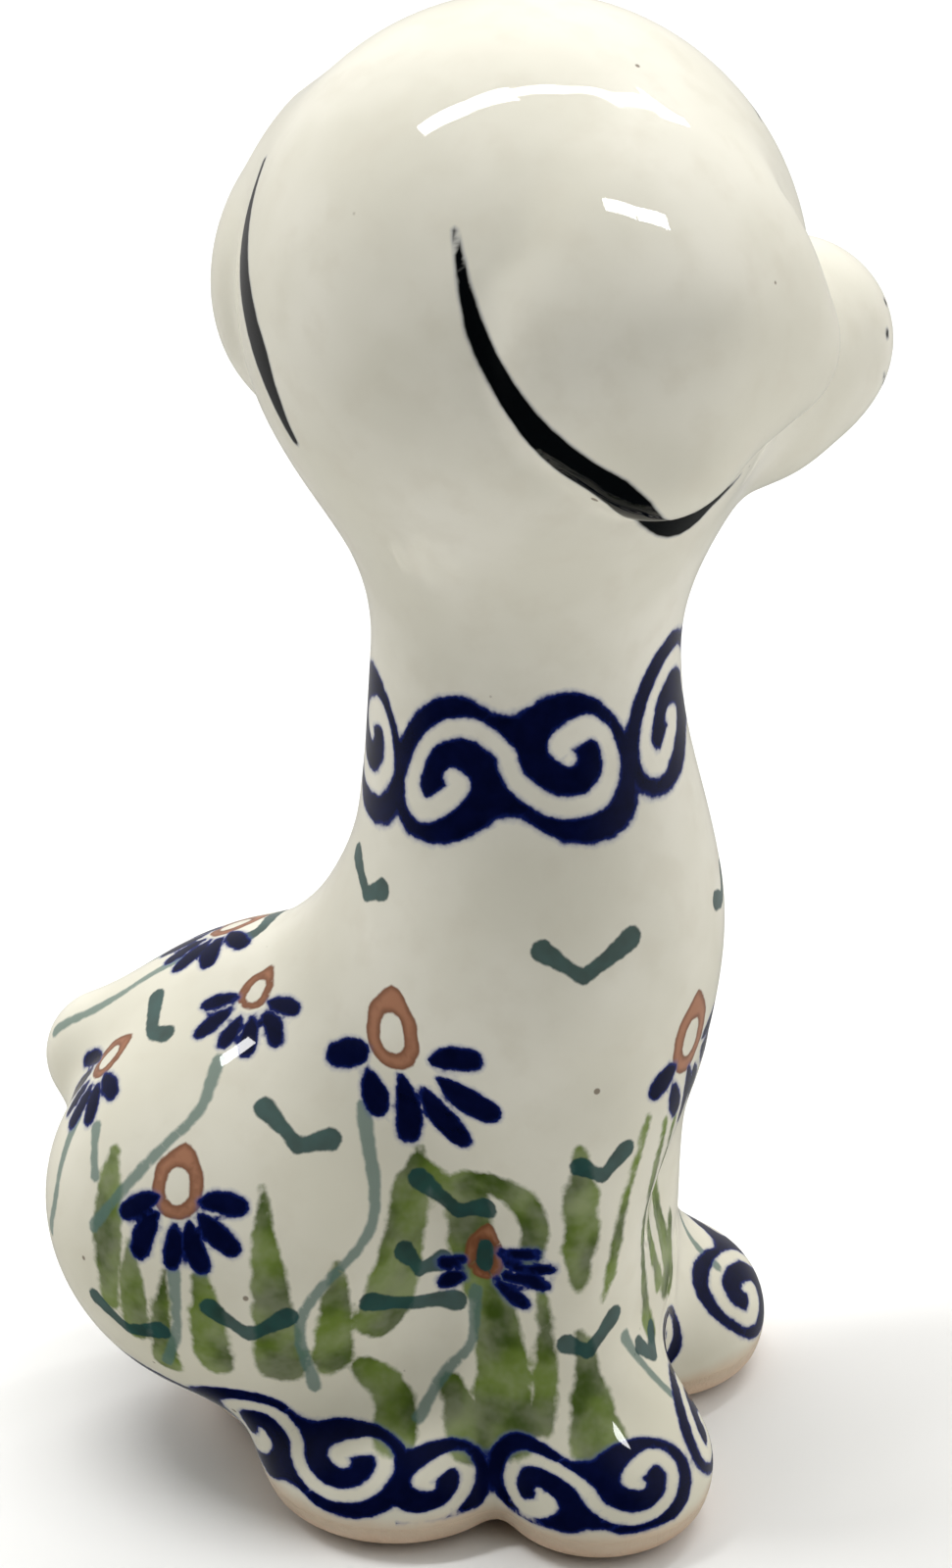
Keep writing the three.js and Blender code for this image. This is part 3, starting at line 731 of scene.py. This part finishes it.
def glaze():
    """White glaze over the underglaze painting."""
    f = Finish("painted_glaze")
    height = f.node("ShaderNodeSeparateXYZ", {0: f.place}).outputs[2]
    colour = f.mix(f.ramp(f.noise(22, 3), 0.35, 0.65), linear(225, 222, 210), linear(215, 212, 198))
    colour = f.mix(f.ramp(f.noise(4, 3), 0.45, 0.75, 0, 0.35), colour, linear(210, 205, 190))

    # it yellows slightly where the glaze ran thicker, lower down
    colour = f.mix(f.ramp(height, 0.075, 0.015, 0, 0.25), colour, linear(214, 209, 180))

    # iron specks burnt through the glaze
    cells = f.node("ShaderNodeTexVoronoi", {"Vector": f.place, "Scale": 260.0}, feature="F1")
    chance = f.node("ShaderNodeSeparateColor", {0: cells.outputs["Color"]}).outputs[0]
    size = f.ramp(chance, 0.80, 1.0, 0.0, 0.12)
    speck = f.ramp(f.math("SUBTRACT", size, cells.outputs["Distance"]), 0.0, 0.05, 0.0, 0.75)
    colour = f.mix(speck, colour, linear(96, 78, 60))

    # the glaze thins and browns towards the wiped foot
    edge = f.math("ADD", height, f.math("MULTIPLY_ADD", f.noise(5), 0.0016, -0.0008))
    colour = f.mix(f.ramp(edge, 0.0062, 0.0036, 0, 0.6), colour, linear(204, 172, 142))

    # the painting, from the first colour laid to the last
    green = f.depth("green", (3.0, 1.6), (0.7, 0.5))
    washes = f.ramp(f.noise(5, 3, 0.6), 0.3, 0.7, 0.8, 1.0)
    pooled = f.mix(f.ramp(f.noise(6, 2), 0.35, 0.65), linear(62, 80, 28), linear(106, 126, 56))
    cover = f.math("MULTIPLY", f.ramp(green, -0.3, 0.45), washes)
    colour = f.mix(cover, colour, pooled)
    stem = f.depth("stem", (1.2, 0.45))
    colour = f.mix(f.ramp(stem, -0.15, 0.3, 0, 0.8), colour, linear(86, 114, 108))
    bird = f.depth("bird", (1.0, 0.4))
    colour = f.mix(f.ramp(bird, -0.12, 0.2, 0, 0.92), colour,
                   f.mix(f.noise(2.5), linear(12, 40, 42), linear(42, 86, 86)))
    terra = f.depth("terra", (1.2, 0.4))
    clayish = f.mix(f.ramp(terra, 0.1, 0.9), linear(120, 74, 50), linear(160, 108, 80))
    colour = f.mix(f.ramp(terra, -0.1, 0.2, 0, 0.95), colour, clayish)
    navy = f.depth("navy", (1.4, 0.55), (0.5, 0.25))
    colour = f.mix(f.ramp(navy, -0.5, 0.1, 0, 0.4), colour, linear(86, 104, 156))
    deep = f.mix(f.noise(2.2), linear(3, 6, 26), linear(10, 17, 58))
    blue = f.mix(f.ramp(navy, 0.0, 0.5), linear(22, 36, 104), deep)
    colour = f.mix(f.ramp(navy, -0.12, 0.18), colour, blue)
    black = f.depth("black", (2.0, 0.3))
    colour = f.mix(f.ramp(black, -0.35, 0.05, 0, 0.45), colour, linear(120, 126, 140))
    colour = f.mix(f.ramp(black, -0.1, 0.25), colour, linear(6, 8, 10))

    f.feed(f.shader.inputs["Base Color"], colour)
    f.feed(f.shader.inputs["Roughness"], f.ramp(f.noise(7, 3), 0.3, 0.7, 0.14, 0.24))
    f.shader.inputs["IOR"].default_value = 1.45
    f.shader.inputs["Specular IOR Level"].default_value = 0.0
    f.shader.inputs["Coat Weight"].default_value = 0.65
    f.shader.inputs["Coat Roughness"].default_value = 0.03
    f.shader.inputs["Coat IOR"].default_value = 1.42
    ripple = f.math("MULTIPLY_ADD", f.noise(1.6, 3), 0.06, f.noise(9, 2))
    bump = f.node("ShaderNodeBump", {"Strength": 0.25, "Distance": 0.0006, "Height": ripple})
    f.feed(f.shader.inputs["Normal"], bump.outputs[0])
    coat = f.node("ShaderNodeBump", {"Strength": 0.02, "Distance": 0.0006, "Height": ripple})
    f.feed(f.shader.inputs["Coat Normal"], coat.outputs[0])
    return f.material


def bare_clay():
    """The unglazed clay of the sole."""
    f = Finish("bare_clay")
    colour = f.mix(f.ramp(f.noise(9, 4, 0.6), 0.3, 0.7), linear(222, 198, 174), linear(204, 176, 150))
    grain = f.noise(0.5, 3, 0.7)
    colour = f.mix(f.ramp(grain, 0.55, 0.8, 0, 0.35), colour, linear(150, 112, 86))
    height = f.node("ShaderNodeSeparateXYZ", {0: f.place}).outputs[2]
    edge = f.math("ADD", height, f.math("MULTIPLY_ADD", f.noise(4), 0.0024, -0.0012))
    colour = f.mix(f.ramp(edge, 0.0016, 0.0034, 0, 0.7), colour, linear(214, 196, 172))
    f.feed(f.shader.inputs["Base Color"], colour)
    f.feed(f.shader.inputs["Roughness"], f.ramp(edge, 0.0018, 0.0036, 0.85, 0.3))
    relief = f.math("ADD", grain, f.math("MULTIPLY", f.noise(3, 3), 1.5))
    bump = f.node("ShaderNodeBump", {"Strength": 0.5, "Distance": 0.0003, "Height": relief})
    f.feed(f.shader.inputs["Normal"], bump.outputs[0])
    return f.material


# ------------------------------------------------------------------ pieces

def shell(label):
    """(vertices, triangles, source rows) of a member as a closed body with one wall thickness."""
    outer = tris[labels == label]
    used, where = np.unique(outer, return_inverse=True)
    outer = where.reshape(-1, 3)
    n = len(used)
    edges = outer[:, [0, 1, 1, 2, 2, 0]].reshape(-1, 2)
    key = edges[:, 0] * n + edges[:, 1]
    open_edge = edges[~np.isin(key, edges[:, 1] * n + edges[:, 0])]
    a, b = open_edge[:, 0], open_edge[:, 1]
    rim = np.concatenate([np.stack([b, a, a + n], 1), np.stack([b, a + n, b + n], 1)])
    inner = verts[used] - normals[used] * WALL
    return (np.concatenate([verts[used], inner]), np.concatenate([outer, outer[:, ::-1] + n, rim]),
            np.concatenate([used, used]))


def slab(label):
    """(vertices, triangles, source rows) of the sole's outer skin; its hidden top is left open."""
    outer = tris[labels == label]
    used, where = np.unique(outer, return_inverse=True)
    return verts[used], where.reshape(-1, 3), used


def piece(name, points, faces, rows, finish):
    """A mesh object with its shading normals and the depth in each colour's strokes."""
    mesh = bpy.data.meshes.new(name)
    mesh.from_pydata((points * MM).tolist(), [], faces.tolist())
    mesh.materials.append(finish)
    mesh.polygons.foreach_set("use_smooth", [True] * len(mesh.polygons))
    # rows beyond the first of each vertex are the inner wall, which faces the other way
    side = np.where(np.arange(len(rows)) < len(np.unique(rows)), 1.0, -1.0)[:, None]
    mesh.normals_split_custom_set_from_vertices((shading[rows] * side).tolist())
    for colour in COLOURS:
        depth = mesh.attributes.new(colour, "FLOAT", "POINT")
        depth.data.foreach_set("value", paint[colour][rows].astype(np.float32))
    thing = bpy.data.objects.new(name, mesh)
    bpy.context.scene.collection.objects.link(thing)
    return thing


glazed, unglazed = glaze(), bare_clay()
for label, node in enumerate(NODES):
    made = slab(label) if label == SOLE else shell(label)
    thing = piece(node + "_fired", *made, unglazed if label == SOLE else glazed)
    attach(thing, "root")
    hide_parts(node)


# ------------------------------------------------------------------ stage and light

def paper():
    f = Finish("pale_paper")
    f.feed(f.shader.inputs["Base Color"],
           f.mix(f.noise(300, 2), linear(234, 234, 233), linear(229, 229, 229)))
    f.shader.inputs["Roughness"].default_value = 0.9
    return f.material


FLOOR_REACH = 6.0                      # half the floor's width, m
form = bmesh.new()
bmesh.ops.create_grid(form, x_segments=8, y_segments=8, size=FLOOR_REACH)
floor_mesh = bpy.data.meshes.new("floor")
form.to_mesh(floor_mesh)
form.free()
floor_mesh.materials.append(paper())
floor = bpy.data.objects.new("floor", floor_mesh)
bpy.context.scene.collection.objects.link(floor)
floor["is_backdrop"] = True
floor.visible_glossy = False           # the glaze would mirror it as a grey veil over the dark paints

STRIP_GLOW = 115.0                     # watts per square metre of lamp
HEAD_POINT = Vector((0, 0, 0.13))      # what the lamps face


def bar(name, corners, widths, lights=True):
    """A bent window bar facing the figurine's head: one long lamp between each two corners.
    A bar that doesn't light is seen in reflections only."""
    for k, (start, end, width) in enumerate(zip(map(Vector, corners), map(Vector, corners[1:]), widths)):
        lamp = bpy.data.lights.new(f"{name}_{k}", "AREA")
        lamp.shape, lamp.size, lamp.size_y = "RECTANGLE", (end - start).length, width
        lamp.energy = STRIP_GLOW * lamp.size * width
        thing = bpy.data.objects.new(lamp.name, lamp)
        bpy.context.scene.collection.objects.link(thing)
        thing.location = (start + end) / 2
        back = (thing.location - HEAD_POINT).normalized()
        y = back.cross((end - start).normalized()).normalized()
        thing.rotation_mode = "QUATERNION"
        thing.rotation_quaternion = Matrix((y.cross(back), y, back)).transposed().to_quaternion()
        thing.visible_camera = False
        thing.visible_diffuse = lights


# placed where the glaze shows them as the arc on the crown and the streak on the ear
bar("window_far", [(-0.63, -0.14, 1.17), (-0.38, 0.0, 1.29), (-0.14, 0.18, 1.33), (0.08, 0.37, 1.29),
                   (0.26, 0.57, 1.18), (0.34, 0.75, 1.02), (0.43, 0.84, 0.89)],
    [0.12, 0.10, 0.05, 0.035, 0.022, 0.06])
bar("window_near", [(0.26, -0.36, 1.27), (0.49, -0.30, 1.21), (0.71, -0.14, 1.12)],
    [0.13, 0.13], lights=False)

world = bpy.data.worlds.new("studio")
bpy.context.scene.world = world
world.use_nodes = True

# the studio is a white tent, bright behind, above and at both sides, and dark towards -Y
STUDIO_STRENGTH = 1.28
UNMIRRORED = 0.65                      # share of that light that the glaze does not mirror
FROM_ABOVE, FROM_SIDES = 0.6, 0.8      # how much of it comes from there, where 1 comes from behind
tent = Nodes(world.node_tree)
axes = tent.node("ShaderNodeSeparateXYZ", {0: tent.node("ShaderNodeTexCoord").outputs["Generated"]}).outputs
sideways = tent.math("ABSOLUTE", axes[0])
facing = tent.math("MULTIPLY_ADD", axes[2], FROM_ABOVE, axes[1])
facing = tent.math("MULTIPLY_ADD", sideways, FROM_SIDES, facing)
spread = tent.ramp(facing, -0.2, 1.1)
seen = tent.node("ShaderNodeLightPath").outputs
mirrored_share = tent.math("MULTIPLY_ADD", seen["Is Glossy Ray"], -UNMIRRORED, 1.0)
strength = tent.math("MULTIPLY", tent.math("MULTIPLY", spread, STUDIO_STRENGTH), mirrored_share)
tint = tent.mix(spread, (0.95, 1.0, 0.92, 1.0), (1.0, 0.985, 0.965, 1.0))
studio = tent.node("ShaderNodeBackground", {0: tint, 1: strength})
# the camera itself sees a plain pale backdrop
backdrop = tent.node("ShaderNodeBackground", {0: (0.85, 0.85, 0.845, 1.0)})
both = tent.node("ShaderNodeMixShader",
                 {0: seen["Is Camera Ray"], 1: studio.outputs[0], 2: backdrop.outputs[0]})
tent.feed(tent.tree.nodes["World Output"].inputs[0], both.outputs[0])

bpy.context.scene.view_settings.view_transform = "Standard"

boxes = {"cad": cad_box, "visual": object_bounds()}
{name: [list(corner) for corner in box] for name, box in boxes.items()}
